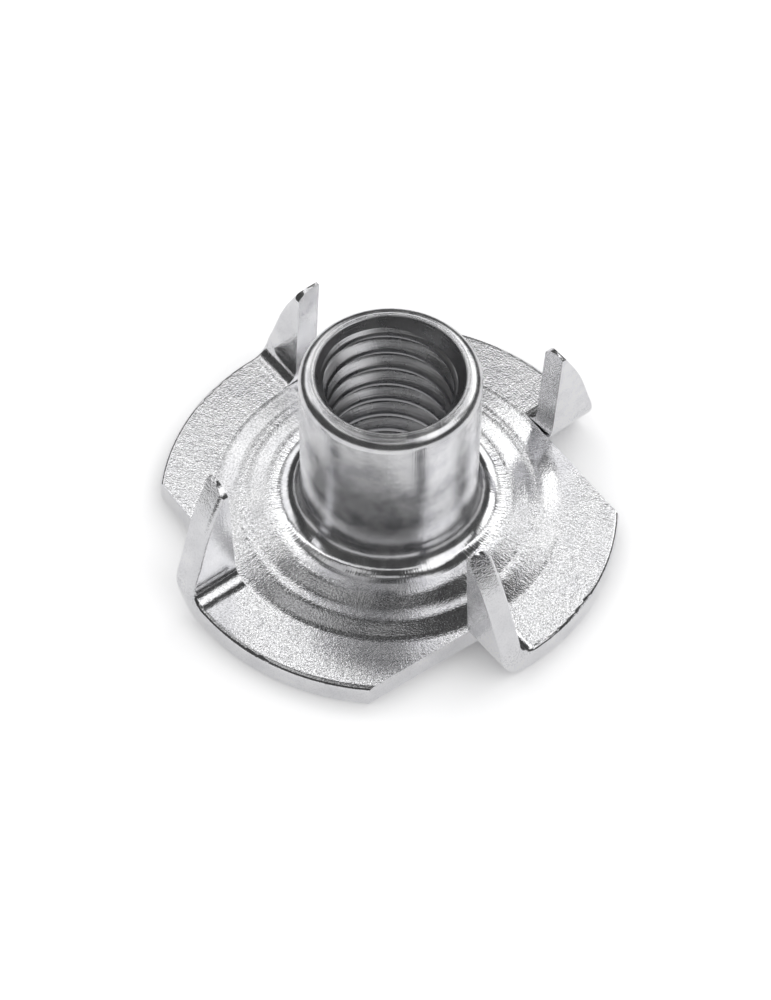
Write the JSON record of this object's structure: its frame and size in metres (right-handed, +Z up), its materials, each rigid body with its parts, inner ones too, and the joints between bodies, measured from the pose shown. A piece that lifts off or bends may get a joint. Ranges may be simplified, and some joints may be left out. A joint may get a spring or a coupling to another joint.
{
  "type": "tee nut",
  "caption": "Steel tee nut: a threaded barrel drawn up from a round flange, with pointed prongs bent up from the rim to bite into wood.",
  "frame": {"origin": "on the barrel axis, at the flange's underside", "axes": "+Z up the barrel axis, from the flange to the barrel's open end; +X to the right and +Y away from the viewer of the picture"},
  "size_m": [0.019, 0.019, 0.0091],
  "materials": {
    "plated_steel": "bright zinc plate"
  },
  "bodies": {
    "root": {"tee_nut": "plated_steel"}
  },
  "joints": []
}
